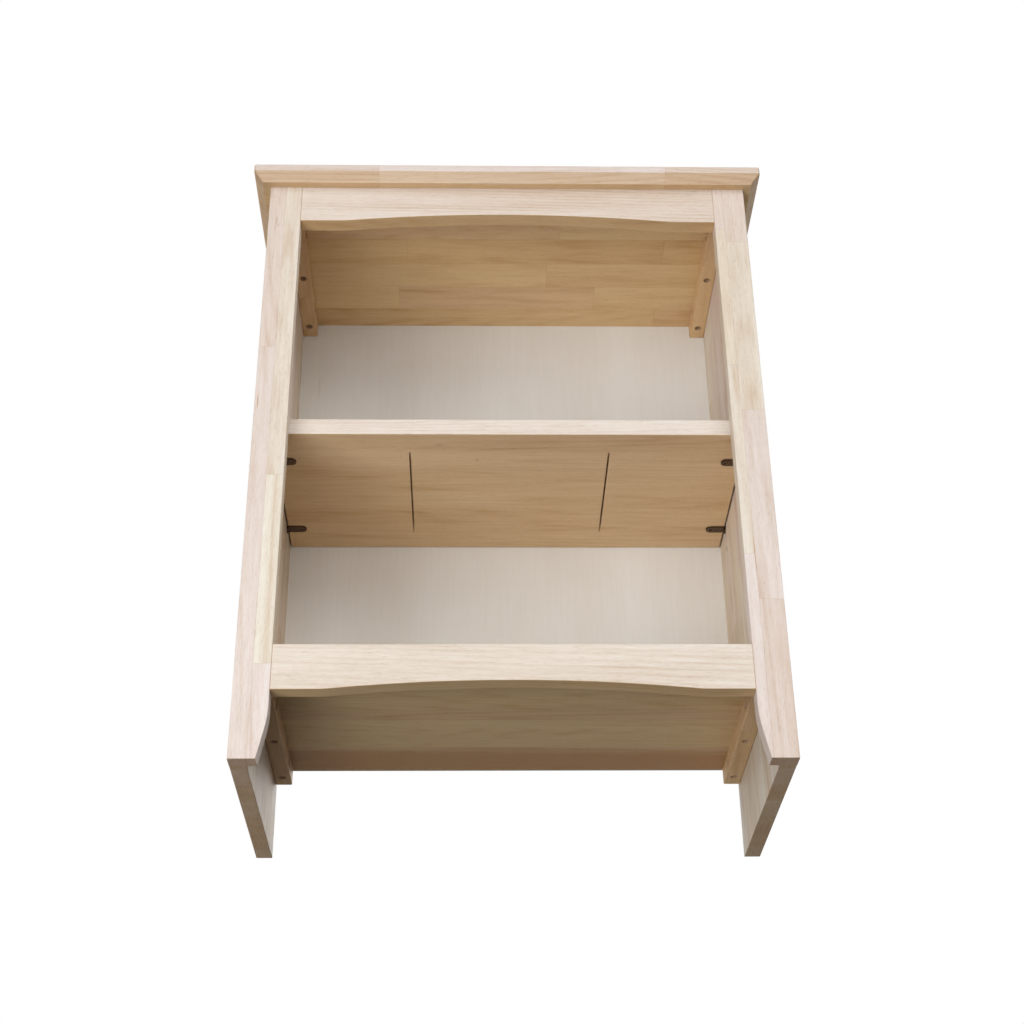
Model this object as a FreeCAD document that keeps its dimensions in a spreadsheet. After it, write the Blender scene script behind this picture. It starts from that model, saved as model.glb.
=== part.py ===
import FreeCAD, Part
import math
import os

import Sketcher

# A small two-tier bookcase in bare wood: a solid case with a face frame in front,
# a thin panel behind, one fixed shelf low down and one loose shelf on four pins.
# Millimetres. X runs across the case, Y from front to back, Z up.
# The origin is on the floor, in the middle of the bounding box.

Vector = FreeCAD.Vector
LEFT, RIGHT = -1, 1
SIDES = {"left": LEFT, "right": RIGHT}
CUT_PAST = 1.0  # how far a cut's outline runs past the edge that it opens

# Driving dimensions: name, size, what it is.
SIZES = [
    ("overall_width", 609.6, "top board, end to end"),
    ("overall_depth", 304.8, "top board, front to back"),
    ("overall_height", 762.0, "floor to the upper face of the top board"),
    ("top_thickness", 20.0, "top board"),
    ("top_overhang", 19.05, "top board past the case, front and both ends"),
    ("top_bevel", 10.0, "bevel under the top board's edge, both ways"),
    ("top_corner", 3.0, "radius of the top board's front corners in plan"),
    ("top_ease", 1.5, "radius round the top board's upper face"),
    ("edge_ease", 0.8, "radius on the case's sanded edges"),
    ("frame_thickness", 19.0, "stiles and rails, front to back"),
    ("stile_width", 38.0, "stiles, across"),
    ("foot_narrowing", 9.7, "how much narrower a stile is at the floor"),
    ("foot_slope", 12.0, "slope of the inner edge of a stile's foot, in degrees"),
    ("foot_bend", 130.0, "radius between that slope and the upright edge"),
    ("rail_height", 51.0, "rails at their ends"),
    ("bottom_rail_lift", 76.0, "floor to the bottom rail"),
    ("arch_rise", 10.0, "rise of the arch cut in each rail"),
    ("arch_flat", 46.0, "straight part of a rail's lower edge at each end"),
    ("arch_bend", 150.0, "radius between that straight part and the arch"),
    ("side_thickness", 18.0, "side panels"),
    ("back_thickness", 4.0, "thin back panel"),
    ("rabbet_depth", 10.0, "rabbet that takes the back panel, front to back"),
    ("rabbet_width", 8.0, "that rabbet, across"),
    ("back_slack", 0.5, "back panel's play in the rabbet"),
    ("shelf_thickness", 20.0, "both shelves"),
    ("bottom_shelf_drop", 4.0, "bottom shelf below the upper edge of its rail"),
    ("shelf_height", 399.0, "floor to the underside of the loose shelf"),
    ("shelf_end_gap", 2.0, "loose shelf to each side panel"),
    ("shelf_front_gap", 1.0, "loose shelf to the stiles"),
    ("shelf_back_gap", 0.8, "loose shelf to the back panel"),
    ("kerf_width", 2.0, "saw kerfs in the loose shelf's underside"),
    ("kerf_depth", 8.0, "those kerfs, up from the underside"),
    ("kerf_spacing", 227.0, "one kerf to the other"),
    ("kerf_margin", 37.0, "end of a kerf to the shelf's edge"),
    ("kerf_blade", 100.0, "radius of the blade that cut them"),
    ("cleat_size", 19.0, "cleats, across and up"),
    ("cleat_ease", 1.5, "radius on the cleats' edges"),
    ("upright_spacing", 101.6, "upright screws along a cleat"),
    ("upright_bore", 9.0, "counterbore for an upright screw"),
    ("upright_bore_depth", 8.0, "that counterbore"),
    ("sideways_spacing", 152.4, "sideways screws along a cleat"),
    ("sideways_bore", 11.5, "counterbore for a sideways screw"),
    ("sideways_bore_depth", 5.0, "that counterbore"),
    ("screw_shank", 4.0, "wood screw, shank diameter"),
    ("screw_length", 25.0, "wood screw under its head"),
    ("screw_head", 8.0, "wood screw, head diameter"),
    ("screw_head_height", 2.8, "wood screw, head"),
    ("screw_tip", 4.0, "wood screw, length of the point"),
    ("recess_length", 4.4, "cross recess in a screw's head"),
    ("recess_width", 1.1, "that recess"),
    ("recess_depth", 1.5, "that recess"),
    ("peg_size", 6.35, "shelf pin's peg, diameter"),
    ("peg_length", 9.0, "peg inside its hole"),
    ("peg_drop", 0.3, "top of the peg below the shelf's underside"),
    ("peg_hole_depth", 10.0, "hole for a peg"),
    ("pin_root", 1.8, "round root of a pin outside its hole"),
    ("tongue_length", 24.0, "shelf pin's tongue from the side panel"),
    ("tongue_width", 12.0, "that tongue"),
    ("tongue_thickness", 2.0, "that tongue"),
    ("tongue_hole", 3.2, "small hole near the tongue's tip"),
    ("tongue_sink", 0.9, "countersink of that hole"),
    ("pin_spacing", 152.4, "front pins to rear pins"),
    ("pin_pitch", 25.4, "one row of pin holes to the next"),
    ("pin_rows", 3.0, "rows of pin holes, the shelf on the middle one"),
    ("dowel_size", 8.0, "dowels, diameter"),
    ("dowel_length", 30.0, "dowels"),
    ("dowel_chamfer", 1.0, "on both ends of a dowel"),
    ("rail_dowel_spacing", 24.0, "two dowels at each end of a rail"),
    ("stile_dowel_spacing", 280.0, "three dowels between a stile and its side panel"),
    ("stile_dowel_depth", 10.0, "the part of those dowels that is in the stile"),
    ("hole_slack", 0.05, "radius of a hole past what fills it"),
    ("hole_end_slack", 0.5, "depth of a blind hole past what fills it"),
    ("through_slack", 0.3, "radius of a screw's clearance hole past its shank"),
    ("nail_shank", 1.4, "nails in the back panel"),
    ("nail_length", 20.0, "nail under its head"),
    ("nail_head", 3.6, "nail head, diameter"),
    ("nail_head_height", 0.7, "nail head"),
    ("nail_tip", 2.0, "length of a nail's point"),
    ("nail_inset", 4.0, "nails from the inner edge of the rabbet"),
    ("nails_high", 5.0, "nails in each upright row"),
    ("nails_across", 4.0, "nails between those in the top and bottom rows"),
    ("nail_end_margin", 30.0, "first nail of an upright row from the panel's edge"),
]

# Places and sizes that follow from those.
LAYOUT = [
    ("half_case", "sizes.overall_width / 2 - sizes.top_overhang"),
    ("half_inside", "half_case - sizes.side_thickness"),
    ("case_front", "-sizes.overall_depth / 2 + sizes.top_overhang"),
    ("case_back", "sizes.overall_depth / 2"),
    ("case_height", "sizes.overall_height - sizes.top_thickness"),
    ("side_front", "case_front + sizes.frame_thickness"),
    ("side_depth", "case_back - side_front"),
    ("side_middle", "side_front + side_depth / 2"),
    ("back_front", "case_back - sizes.rabbet_depth"),
    ("half_rabbet", "half_inside + sizes.rabbet_width"),
    ("half_rail", "half_case - sizes.stile_width"),
    ("half_arch", "half_rail - sizes.arch_flat"),
    ("arch_radius", "(half_arch^2 / sizes.arch_rise + sizes.arch_rise) / 2 - sizes.arch_bend"),
    ("foot_width", "sizes.stile_width - sizes.foot_narrowing"),
    ("top_rail_lift", "case_height - sizes.rail_height"),
    ("bottom_shelf_top", "sizes.bottom_rail_lift + sizes.rail_height - sizes.bottom_shelf_drop"),
    ("bottom_shelf_lift", "bottom_shelf_top - sizes.shelf_thickness"),
    ("fixed_depth", "back_front - side_front"),
    ("half_shelf", "half_inside - sizes.shelf_end_gap"),
    ("shelf_front", "side_front + sizes.shelf_front_gap"),
    ("shelf_depth", "back_front - sizes.shelf_back_gap - shelf_front"),
    ("kerf_run", "sqrt(2 * sizes.kerf_blade * sizes.kerf_depth - sizes.kerf_depth^2)"),
    ("cleat_length", "2 * (back_front - side_middle)"),
    ("cleat_axis", "half_inside - sizes.cleat_size / 2"),
    ("upright_grip", "sizes.cleat_size - sizes.upright_bore_depth"),
    ("sideways_grip", "sizes.cleat_size - sizes.sideways_bore_depth"),
    ("upright_pilot", "sizes.screw_length - upright_grip + sizes.hole_end_slack"),
    ("sideways_pilot", "sizes.screw_length - sideways_grip + sizes.hole_end_slack"),
    ("peg_axis", "sizes.shelf_height - sizes.peg_drop - sizes.peg_size / 2"),
    ("dowel_half_hole", "sizes.dowel_length / 2 + sizes.hole_end_slack"),
    ("frame_middle", "case_front + sizes.frame_thickness / 2"),
    ("half_back", "half_rabbet - sizes.back_slack"),
    ("back_foot", "bottom_shelf_lift"),
    ("back_top", "case_height + sizes.rabbet_width - sizes.back_slack"),
    ("nail_side", "half_inside + sizes.nail_inset"),
    ("nail_upper", "case_height + sizes.nail_inset"),
    ("nail_lower", "bottom_shelf_lift + sizes.shelf_thickness / 2"),
    ("nail_pilot", "sizes.nail_length - sizes.back_thickness + sizes.hole_end_slack"),
]

doc = FreeCAD.newDocument("bookcase")


# ---------------------------------------------------------------- sheets


def make_sheet(name, rows, prefix=""):
    """A spreadsheet with one aliased cell in each row."""
    sheet = doc.addObject("Spreadsheet::Sheet", name)
    for number, row in enumerate(rows, start=1):
        alias, value = row[0], row[1]
        sheet.set(f"A{number}", alias)
        sheet.set(f"B{number}", f"{prefix}{value}")
        sheet.setAlias(f"B{number}", alias)
        if len(row) > 2:
            sheet.set(f"C{number}", row[2])
    doc.recompute()
    return sheet


sizes = make_sheet("sizes", SIZES)
layout = make_sheet("layout", LAYOUT, prefix="=")


def value_of(expression):
    """The number that an expression on the two sheets gives now."""
    return float(sizes.evalExpression(str(expression)))


# ---------------------------------------------------------------- sketches


def new_sketch(body, name, plane, offset=0):
    """A sketch on one of the body's origin planes, moved along that plane's normal.

    XY_Plane looks up, YZ_Plane looks along +X, and XZ_Plane looks along -Y.
    """
    sketch = body.newObject("Sketcher::SketchObject", name)
    support = next(item for item in body.Origin.OriginFeatures if item.Role == plane)
    sketch.AttachmentSupport = (support, [""])
    sketch.MapMode = "FlatFace"
    sketch.AttachmentOffset = FreeCAD.Placement(Vector(0, 0, value_of(offset)), FreeCAD.Rotation())
    sketch.setExpression("AttachmentOffset.Base.z", str(offset))
    return sketch


def bind(sketch, name, expression, *constraint):
    """Adds a named dimension to a sketch and ties it to the sheets."""
    index = sketch.addConstraint(Sketcher.Constraint(*constraint, value_of(expression)))
    sketch.renameConstraint(index, name)
    sketch.setExpression(f"Constraints.{name}", str(expression))


def fix_point(sketch, name, geometry, end, across, up):
    """Ties a point's distances from the sketch's origin to the sheets."""
    bind(sketch, f"{name}_across", across, "DistanceX", -1, 1, geometry, end)
    bind(sketch, f"{name}_up", up, "DistanceY", -1, 1, geometry, end)


def join_ends(sketch, chain):
    """Joins each piece of an outline's chain to the next, and the last to the first."""
    for this, following in zip(chain, chain[1:] + chain[:1]):
        sketch.addConstraint(Sketcher.Constraint("Coincident", this, 2, following, 1))


def add_lines(sketch, points):
    """Straight lines from each point to the next; gives their numbers."""
    ends = [Vector(across, up, 0) for across, up in points]
    return [sketch.addGeometry(Part.LineSegment(a, b)) for a, b in zip(ends, ends[1:])]


def add_rectangle(sketch, name, low, high):
    """A rectangle between two corners, each a pair of expressions."""
    left, bottom = (value_of(item) for item in low)
    right, top = (value_of(item) for item in high)
    corners = [(left, bottom), (right, bottom), (right, top), (left, top), (left, bottom)]
    chain = add_lines(sketch, corners)
    join_ends(sketch, chain)
    for line, direction in zip(chain, ("Horizontal", "Vertical", "Horizontal", "Vertical")):
        sketch.addConstraint(Sketcher.Constraint(direction, line))
    fix_point(sketch, f"{name}_low", chain[0], 1, *low)
    fix_point(sketch, f"{name}_high", chain[2], 1, *high)


def add_circle(sketch, name, diameter, across, up):
    """A circle whose centre and diameter follow the sheets."""
    centre = Vector(value_of(across), value_of(up), 0)
    circle = sketch.addGeometry(Part.Circle(centre, Vector(0, 0, 1), value_of(diameter) / 2))
    fix_point(sketch, name, circle, 3, across, up)
    bind(sketch, f"{name}_size", diameter, "Diameter", circle)


# ---------------------------------------------------------------- solid features


def new_body(name, across="0", back="0", up="0"):
    """A body with its own name, placed where three expressions say."""
    body = doc.addObject("PartDesign::Body", name)
    body.Label = name
    place(body, across, back, up)
    return body


def place(thing, across, back, up, rotation=None):
    """Turns an object and ties its place to the sheets."""
    spot = Vector(value_of(across), value_of(back), value_of(up))
    thing.Placement = FreeCAD.Placement(spot, rotation or FreeCAD.Rotation())
    for axis, expression in zip("xyz", (across, back, up)):
        thing.setExpression(f"Placement.Base.{axis}", str(expression))


def pad(body, sketch, length, along_normal=True, centred=False):
    """Grows a sketch into a solid."""
    feature = body.newObject("PartDesign::Pad", f"{sketch.Name}_pad")
    feature.Profile = sketch
    feature.Length = value_of(length)
    feature.setExpression("Length", str(length))
    feature.Reversed = not along_normal
    feature.Midplane = centred
    doc.recompute()
    return feature


def pocket(body, sketch, length=None, along_normal=True, centred=False):
    """Cuts a sketch out of the body, right through it where no length is given."""
    before = body.Shape.Volume
    feature = body.newObject("PartDesign::Pocket", f"{sketch.Name}_cut")
    feature.Profile = sketch
    if length is None:
        feature.Type = "ThroughAll"
    else:
        feature.Length = value_of(length)
        feature.setExpression("Length", str(length))
    feature.Reversed = along_normal
    feature.Midplane = centred
    doc.recompute()
    if body.Shape.Volume >= before:
        raise RuntimeError(f"{sketch.Name} cuts nothing")
    return feature


def round_edges(body, name, radius, wanted):
    """Rounds each edge of the body that the test picks by its middle and direction."""
    return dress_edges(body, "PartDesign::Fillet", name, "Radius", radius, wanted)


def bevel_edges(body, name, size, wanted):
    """Bevels each edge of the body that the test picks, the same both ways."""
    return dress_edges(body, "PartDesign::Chamfer", name, "Size", size, wanted)


def dress_edges(body, kind, name, measure, size, wanted):
    """Puts a fillet or chamfer on the edges that a test picks."""
    base = body.Tip
    picked = []
    for number, edge in enumerate(base.Shape.Edges, start=1):
        middle = edge.valueAt((edge.FirstParameter + edge.LastParameter) / 2)
        direction = edge.tangentAt((edge.FirstParameter + edge.LastParameter) / 2)
        if wanted(middle, direction):
            picked.append(f"Edge{number}")
    if not picked:
        raise RuntimeError(f"{name} has no edges")
    feature = body.newObject(kind, name)
    feature.Base = (base, picked)
    setattr(feature, measure, value_of(size))
    feature.setExpression(measure, str(size))
    doc.recompute()
    return feature


def near(one, other, reach=0.01):
    return abs(one - other) < reach


def runs_along(direction, axis):
    """Whether a direction is that of the X, Y or Z axis."""
    return abs(getattr(direction, axis)) > 0.999


def group(name, master, places):
    """One node of identical pieces, each a link to the master at its own place."""
    links = []
    for number, (across, back, up, rotation) in enumerate(places, start=1):
        link = doc.addObject("App::Link", f"{name}_{number}")
        link.LinkedObject = master
        place(link, across, back, up, rotation)
        links.append(link)
    compound = doc.addObject("Part::Compound", name)
    compound.Label = name
    compound.Links = links
    return compound


# ---------------------------------------------------------------- where the fasteners go


def spread(middle, spacing, count):
    """Expressions for places that lie evenly about a middle."""
    return [f"{middle} + {step - (count - 1) / 2} * {spacing}" for step in range(count)]


def upright_screw_rows():
    return spread("layout.side_middle", "sizes.upright_spacing", 3)


def sideways_screw_rows():
    return spread("layout.side_middle", "sizes.sideways_spacing", 2)


def pin_rows():
    return spread("layout.side_middle", "sizes.pin_spacing", 2)


def pin_heights():
    return spread("layout.peg_axis", "sizes.pin_pitch", round(value_of("sizes.pin_rows")))


def rail_dowel_heights(rail_foot):
    return spread(f"{rail_foot} + sizes.rail_height / 2", "sizes.rail_dowel_spacing", 2)


def stile_dowel_heights():
    return spread("layout.case_height / 2", "sizes.stile_dowel_spacing", 3)


def nail_heights():
    """Heights of the nails in an upright row, from the panel's foot to its top."""
    count = round(value_of("sizes.nails_high"))
    low = "(layout.back_foot + sizes.nail_end_margin)"
    high = "(layout.back_top - sizes.nail_end_margin)"
    return [f"{low} + ({high} - {low}) * {step} / {count - 1}" for step in range(count)]


def nail_offsets():
    """Places across of the nails in the top and bottom rows."""
    count = round(value_of("sizes.nails_across"))
    return [f"layout.nail_side * {(2 * step + 1 - count) / (count + 1)}" for step in range(count)]


def nail_spots():
    """Each nail's place across and up."""
    spots = [(f"{side} * layout.nail_side", up) for side in (LEFT, RIGHT) for up in nail_heights()]
    for up in ("layout.nail_upper", "layout.nail_lower"):
        spots += [(across, up) for across in nail_offsets()]
    return spots


CLEATED_BOARDS = {"top": "layout.case_height", "bottom": "layout.bottom_shelf_lift"}
RAIL_FEET = {"top": "layout.top_rail_lift", "bottom": "sizes.bottom_rail_lift"}


# ---------------------------------------------------------------- holes


def drill(body, name, plane, offset, diameter, spots, depth=None, along_normal=True):
    """Round holes of one size, all from the same plane."""
    sketch = new_sketch(body, name, plane, offset)
    for number, (across, up) in enumerate(spots, start=1):
        add_circle(sketch, f"hole{number}", diameter, across, up)
    return pocket(body, sketch, depth, along_normal)


def fit_hole(size):
    """Diameter of the hole that something of this diameter just fills."""
    return f"{size} + 2 * sizes.hole_slack"


# ---------------------------------------------------------------- top board


def make_top_board():
    body = new_body("top_board", up="layout.case_height")
    outline = new_sketch(body, "top_outline", "XY_Plane")
    add_rectangle(
        outline,
        "board",
        ("-sizes.overall_width / 2", "-sizes.overall_depth / 2"),
        ("sizes.overall_width / 2", "sizes.overall_depth / 2"),
    )
    pad(body, outline, "sizes.top_thickness")
    half_width = value_of("sizes.overall_width / 2")
    half_depth = value_of("sizes.overall_depth / 2")
    bevel = value_of("sizes.top_bevel")
    thickness = value_of("sizes.top_thickness")

    def under_front_or_end(middle, direction):
        return near(middle.z, 0) and not near(middle.y, half_depth)

    def front_corner(middle, direction):
        return (
            middle.y < bevel - half_depth
            and abs(middle.x) > half_width - bevel
            and not runs_along(direction, "x")
            and not runs_along(direction, "y")
        )

    def round_the_top(middle, direction):
        return near(middle.z, thickness)

    bevel_edges(body, "top_bevels", "sizes.top_bevel", under_front_or_end)
    round_edges(body, "top_corners", "sizes.top_corner", front_corner)
    round_edges(body, "top_eased", "sizes.top_ease", round_the_top)

    rabbet = new_sketch(body, "top_rabbet", "XY_Plane")
    add_rectangle(
        rabbet,
        "rabbet",
        ("-layout.half_rabbet", "layout.back_front"),
        ("layout.half_rabbet", f"layout.case_back + {CUT_PAST}"),
    )
    pocket(body, rabbet, "sizes.rabbet_width")
    spots = [
        (f"{side} * layout.cleat_axis", row) for side in (LEFT, RIGHT) for row in upright_screw_rows()
    ]
    pilot = fit_hole("sizes.screw_shank")
    drill(body, "top_screw_holes", "XY_Plane", "0", pilot, spots, "layout.upright_pilot")
    nails = [(across, "sizes.nail_inset") for across in nail_offsets()]
    drill_nails(body, "top_nail_holes", "layout.back_front", nails)
    return body


def drill_nails(body, name, plane_back, spots):
    """Nail holes that run forward from an upright plane at that place in the body."""
    drill(
        body,
        name,
        "XZ_Plane",
        f"-({plane_back})",
        fit_hole("sizes.nail_shank"),
        spots,
        "layout.nail_pilot",
        along_normal=True,
    )


# ---------------------------------------------------------------- side panels


def make_side_panel(name, side):
    """A side panel; its own origin is at the front of its inner face, on the floor."""
    body = new_body(f"{name}_side_panel", f"{side} * layout.half_inside", "layout.side_front")
    outline = new_sketch(body, f"{name}_side_outline", "YZ_Plane")
    add_rectangle(outline, "panel", ("0", "0"), ("layout.side_depth", "layout.case_height"))
    pad(body, outline, "sizes.side_thickness", along_normal=side == RIGHT)

    thickness = value_of("sizes.side_thickness")
    depth = value_of("layout.side_depth")

    def on_the_floor(middle, direction):
        return near(middle.z, 0) and not near(middle.y, 0)

    def outer_rear(middle, direction):
        return near(abs(middle.x), thickness) and near(middle.y, depth) and runs_along(direction, "z")

    round_edges(
        body,
        f"{name}_side_eased",
        "sizes.edge_ease",
        lambda middle, direction: on_the_floor(middle, direction) or outer_rear(middle, direction),
    )

    rabbet = new_sketch(body, f"{name}_side_rabbet", "YZ_Plane")
    back_front = "layout.back_front - layout.side_front"
    add_rectangle(
        rabbet,
        "rabbet",
        (back_front, "layout.back_foot - sizes.back_slack"),
        (f"layout.side_depth + {CUT_PAST}", f"layout.case_height + {CUT_PAST}"),
    )
    outward = side == RIGHT
    pocket(body, rabbet, "sizes.rabbet_width", along_normal=outward)

    pin_spots = [(f"{row} - layout.side_front", up) for row in pin_rows() for up in pin_heights()]
    peg_hole = fit_hole("sizes.peg_size")
    drill(body, f"{name}_pin_holes", "YZ_Plane", "0", peg_hole, pin_spots, "sizes.peg_hole_depth", outward)

    screw_spots = [
        (f"{row} - layout.side_front", f"{board} - sizes.cleat_size / 2")
        for row in sideways_screw_rows()
        for board in CLEATED_BOARDS.values()
    ]
    pilot = fit_hole("sizes.screw_shank")
    drill(body, f"{name}_side_screw_holes", "YZ_Plane", "0", pilot, screw_spots, "layout.sideways_pilot", outward)

    middle = f"{side} * sizes.side_thickness / 2"
    dowel_spots = [(middle, up) for up in stile_dowel_heights()]
    depth_in_side = "sizes.dowel_length - sizes.stile_dowel_depth + sizes.hole_end_slack"
    dowel_hole = fit_hole("sizes.dowel_size")
    drill(body, f"{name}_side_dowel_holes", "XZ_Plane", "0", dowel_hole, dowel_spots, depth_in_side, False)

    nails = [(f"{side} * sizes.nail_inset", up) for up in nail_heights()]
    drill_nails(body, f"{name}_side_nail_holes", back_front, nails)
    return body


# ---------------------------------------------------------------- face frame


def make_stile(name, side):
    """A stile; its own origin is at the foot of its outer front edge."""
    inward = -side
    body = new_body(f"{name}_stile", f"{side} * layout.half_case", "layout.case_front")
    outline = new_sketch(body, f"{name}_stile_outline", "XZ_Plane")
    draw_stile(outline, inward)
    pad(body, outline, "sizes.frame_thickness", along_normal=False)

    def front_edge(middle, direction):
        return near(middle.y, 0) and not runs_along(direction, "x")

    def foot_edge(middle, direction):
        return near(middle.z, 0) and runs_along(direction, "x") and near(middle.y, 0)

    round_edges(
        body,
        f"{name}_stile_eased",
        "sizes.edge_ease",
        lambda middle, direction: front_edge(middle, direction) or foot_edge(middle, direction),
    )

    hole = fit_hole("sizes.dowel_size")
    rail_spots = [
        ("sizes.frame_thickness / 2", up) for foot in RAIL_FEET.values() for up in rail_dowel_heights(foot)
    ]
    inner_edge = f"{inward} * sizes.stile_width"
    outward_is_normal = side == RIGHT
    drill(
        body,
        f"{name}_stile_rail_holes",
        "YZ_Plane",
        inner_edge,
        hole,
        rail_spots,
        "layout.dowel_half_hole",
        outward_is_normal,
    )
    side_spots = [(f"{inward} * sizes.side_thickness / 2", up) for up in stile_dowel_heights()]
    depth = "sizes.stile_dowel_depth + sizes.hole_end_slack"
    drill(body, f"{name}_stile_side_holes", "XZ_Plane", "-sizes.frame_thickness", hole, side_spots, depth)
    return body


def draw_stile(sketch, inward):
    """Front view of a stile, whose foot narrows along a bend and a slope."""
    slope = math.radians(value_of("sizes.foot_slope"))
    bend = value_of("sizes.foot_bend")
    width = value_of("sizes.stile_width")
    foot = value_of("layout.foot_width")
    height = value_of("layout.case_height")
    slope_reach = value_of("sizes.foot_narrowing") - bend * (1 - math.cos(slope))
    slope_top = slope_reach / math.tan(slope)
    bend_top = slope_top + bend * math.sin(slope)

    lines = add_lines(
        sketch,
        [
            (inward * width, bend_top),
            (inward * width, height),
            (0, height),
            (0, 0),
            (inward * foot, 0),
            (inward * (foot + slope_reach), slope_top),
        ],
    )
    inner, top, outer, floor, sloped = lines
    centre = Vector(inward * (width - bend), bend_top, 0)
    circle = Part.Circle(centre, Vector(0, 0, 1), bend)
    if inward > 0:
        arc = sketch.addGeometry(Part.ArcOfCircle(circle, -slope, 0))
        arc_low, arc_high = 1, 2
    else:
        arc = sketch.addGeometry(Part.ArcOfCircle(circle, math.pi, math.pi + slope))
        arc_low, arc_high = 2, 1

    for this, following in zip(lines, lines[1:]):
        sketch.addConstraint(Sketcher.Constraint("Coincident", this, 2, following, 1))
    sketch.addConstraint(Sketcher.Constraint("Tangent", sloped, 2, arc, arc_low))
    sketch.addConstraint(Sketcher.Constraint("Tangent", inner, 1, arc, arc_high))
    sketch.addConstraint(Sketcher.Constraint("Coincident", outer, 2, -1, 1))
    for line, direction in ((inner, "Vertical"), (top, "Horizontal"), (outer, "Vertical"), (floor, "Horizontal")):
        sketch.addConstraint(Sketcher.Constraint(direction, line))
    bind(sketch, "bend", "sizes.foot_bend", "Radius", arc)
    bind(sketch, "height", "layout.case_height", "DistanceY", outer, 2, outer, 1)
    bind(sketch, "foot", f"{inward} * layout.foot_width", "DistanceX", -1, 1, floor, 2)
    bind(sketch, "width", f"{inward} * sizes.stile_width", "DistanceX", -1, 1, inner, 2)
    bind(sketch, "rise", slope_top_expression(), "DistanceY", -1, 1, sloped, 2)


def slope_top_expression():
    """Height at which a stile's sloped edge meets its bend."""
    angle = "sizes.foot_slope * 1 deg"
    reach = f"(sizes.foot_narrowing - sizes.foot_bend * (1 - cos({angle})))"
    return f"{reach} / tan({angle})"


def make_rail(name):
    """An arched rail; its own origin is at the middle of its front lower edge."""
    foot = RAIL_FEET[name]
    body = new_body(f"{name}_rail", "0", "layout.case_front", foot)
    outline = new_sketch(body, f"{name}_rail_outline", "XZ_Plane")
    draw_rail(outline)
    pad(body, outline, "sizes.frame_thickness", along_normal=False)

    height = value_of("sizes.rail_height")
    open_above = name == "bottom"

    def front_edge(middle, direction):
        lower = middle.z < height / 2
        upper = open_above and near(middle.z, height)
        return near(middle.y, 0) and not runs_along(direction, "z") and (lower or upper)

    round_edges(body, f"{name}_rail_eased", "sizes.edge_ease", front_edge)
    hole = fit_hole("sizes.dowel_size")
    spots = [("sizes.frame_thickness / 2", up) for up in rail_dowel_heights("0")]
    for side_name, side in SIDES.items():
        end = f"{side} * layout.half_rail"
        holes = f"{name}_rail_{side_name}_holes"
        drill(body, holes, "YZ_Plane", end, hole, spots, "layout.dowel_half_hole", side == LEFT)
    return body


def draw_rail(sketch):
    """Front view of a rail: square ends, and a shallow arch with a soft start in its lower edge."""
    half = value_of("layout.half_rail")
    height = value_of("sizes.rail_height")
    start = value_of("layout.half_arch")
    bend = value_of("sizes.arch_bend")
    radius = value_of("layout.arch_radius")
    rise = value_of("sizes.arch_rise")
    lean = math.atan2(start, radius + bend - rise)
    down = -math.pi / 2
    up = Vector(0, 0, 1)

    right_flat, right_end, top, left_end, left_flat = add_lines(
        sketch, [(start, 0), (half, 0), (half, height), (-half, height), (-half, 0), (-start, 0)]
    )
    left_bend = sketch.addGeometry(
        Part.ArcOfCircle(Part.Circle(Vector(-start, bend, 0), up, bend), down, down + lean)
    )
    arch = sketch.addGeometry(
        Part.ArcOfCircle(Part.Circle(Vector(0, rise - radius, 0), up, radius), -down - lean, -down + lean)
    )
    right_bend = sketch.addGeometry(
        Part.ArcOfCircle(Part.Circle(Vector(start, bend, 0), up, bend), down - lean, down)
    )
    for this, following in ((right_flat, right_end), (right_end, top), (top, left_end), (left_end, left_flat)):
        sketch.addConstraint(Sketcher.Constraint("Coincident", this, 2, following, 1))
    for first, first_end, second, second_end in (
        (left_flat, 2, left_bend, 1),
        (left_bend, 2, arch, 2),
        (arch, 1, right_bend, 1),
        (right_bend, 2, right_flat, 1),
    ):
        sketch.addConstraint(Sketcher.Constraint("Tangent", first, first_end, second, second_end))
    for line in (left_flat, right_flat, top):
        sketch.addConstraint(Sketcher.Constraint("Horizontal", line))
    for line in (left_end, right_end):
        sketch.addConstraint(Sketcher.Constraint("Vertical", line))
    bind(sketch, "left_bend", "sizes.arch_bend", "Radius", left_bend)
    bind(sketch, "right_bend", "sizes.arch_bend", "Radius", right_bend)
    bind(sketch, "arch", "layout.arch_radius", "Radius", arch)
    bind(sketch, "height", "sizes.rail_height", "DistanceY", right_end, 1, right_end, 2)
    fix_point(sketch, "left_foot", left_flat, 1, "-layout.half_rail", "0")
    bind(sketch, "length", "2 * layout.half_rail", "DistanceX", left_flat, 1, right_flat, 2)
    bind(sketch, "flat", "sizes.arch_flat", "DistanceX", left_flat, 1, left_flat, 2)


# ---------------------------------------------------------------- shelves and back


def make_adjustable_shelf():
    """The loose shelf; its own origin is at the middle of its underside's front edge."""
    body = new_body("adjustable_shelf", "0", "layout.shelf_front", "sizes.shelf_height")
    outline = new_sketch(body, "shelf_outline", "XY_Plane")
    add_rectangle(outline, "shelf", ("-layout.half_shelf", "0"), ("layout.half_shelf", "layout.shelf_depth"))
    pad(body, outline, "sizes.shelf_thickness")
    round_edges(
        body,
        "shelf_eased",
        "sizes.edge_ease",
        lambda middle, direction: near(middle.y, 0) and runs_along(direction, "x"),
    )
    for name, side in SIDES.items():
        kerf = new_sketch(body, f"{name}_kerf", "YZ_Plane", f"{side} * sizes.kerf_spacing / 2")
        draw_kerf(kerf)
        pocket(body, kerf, "sizes.kerf_width", centred=True)
    return body


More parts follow.
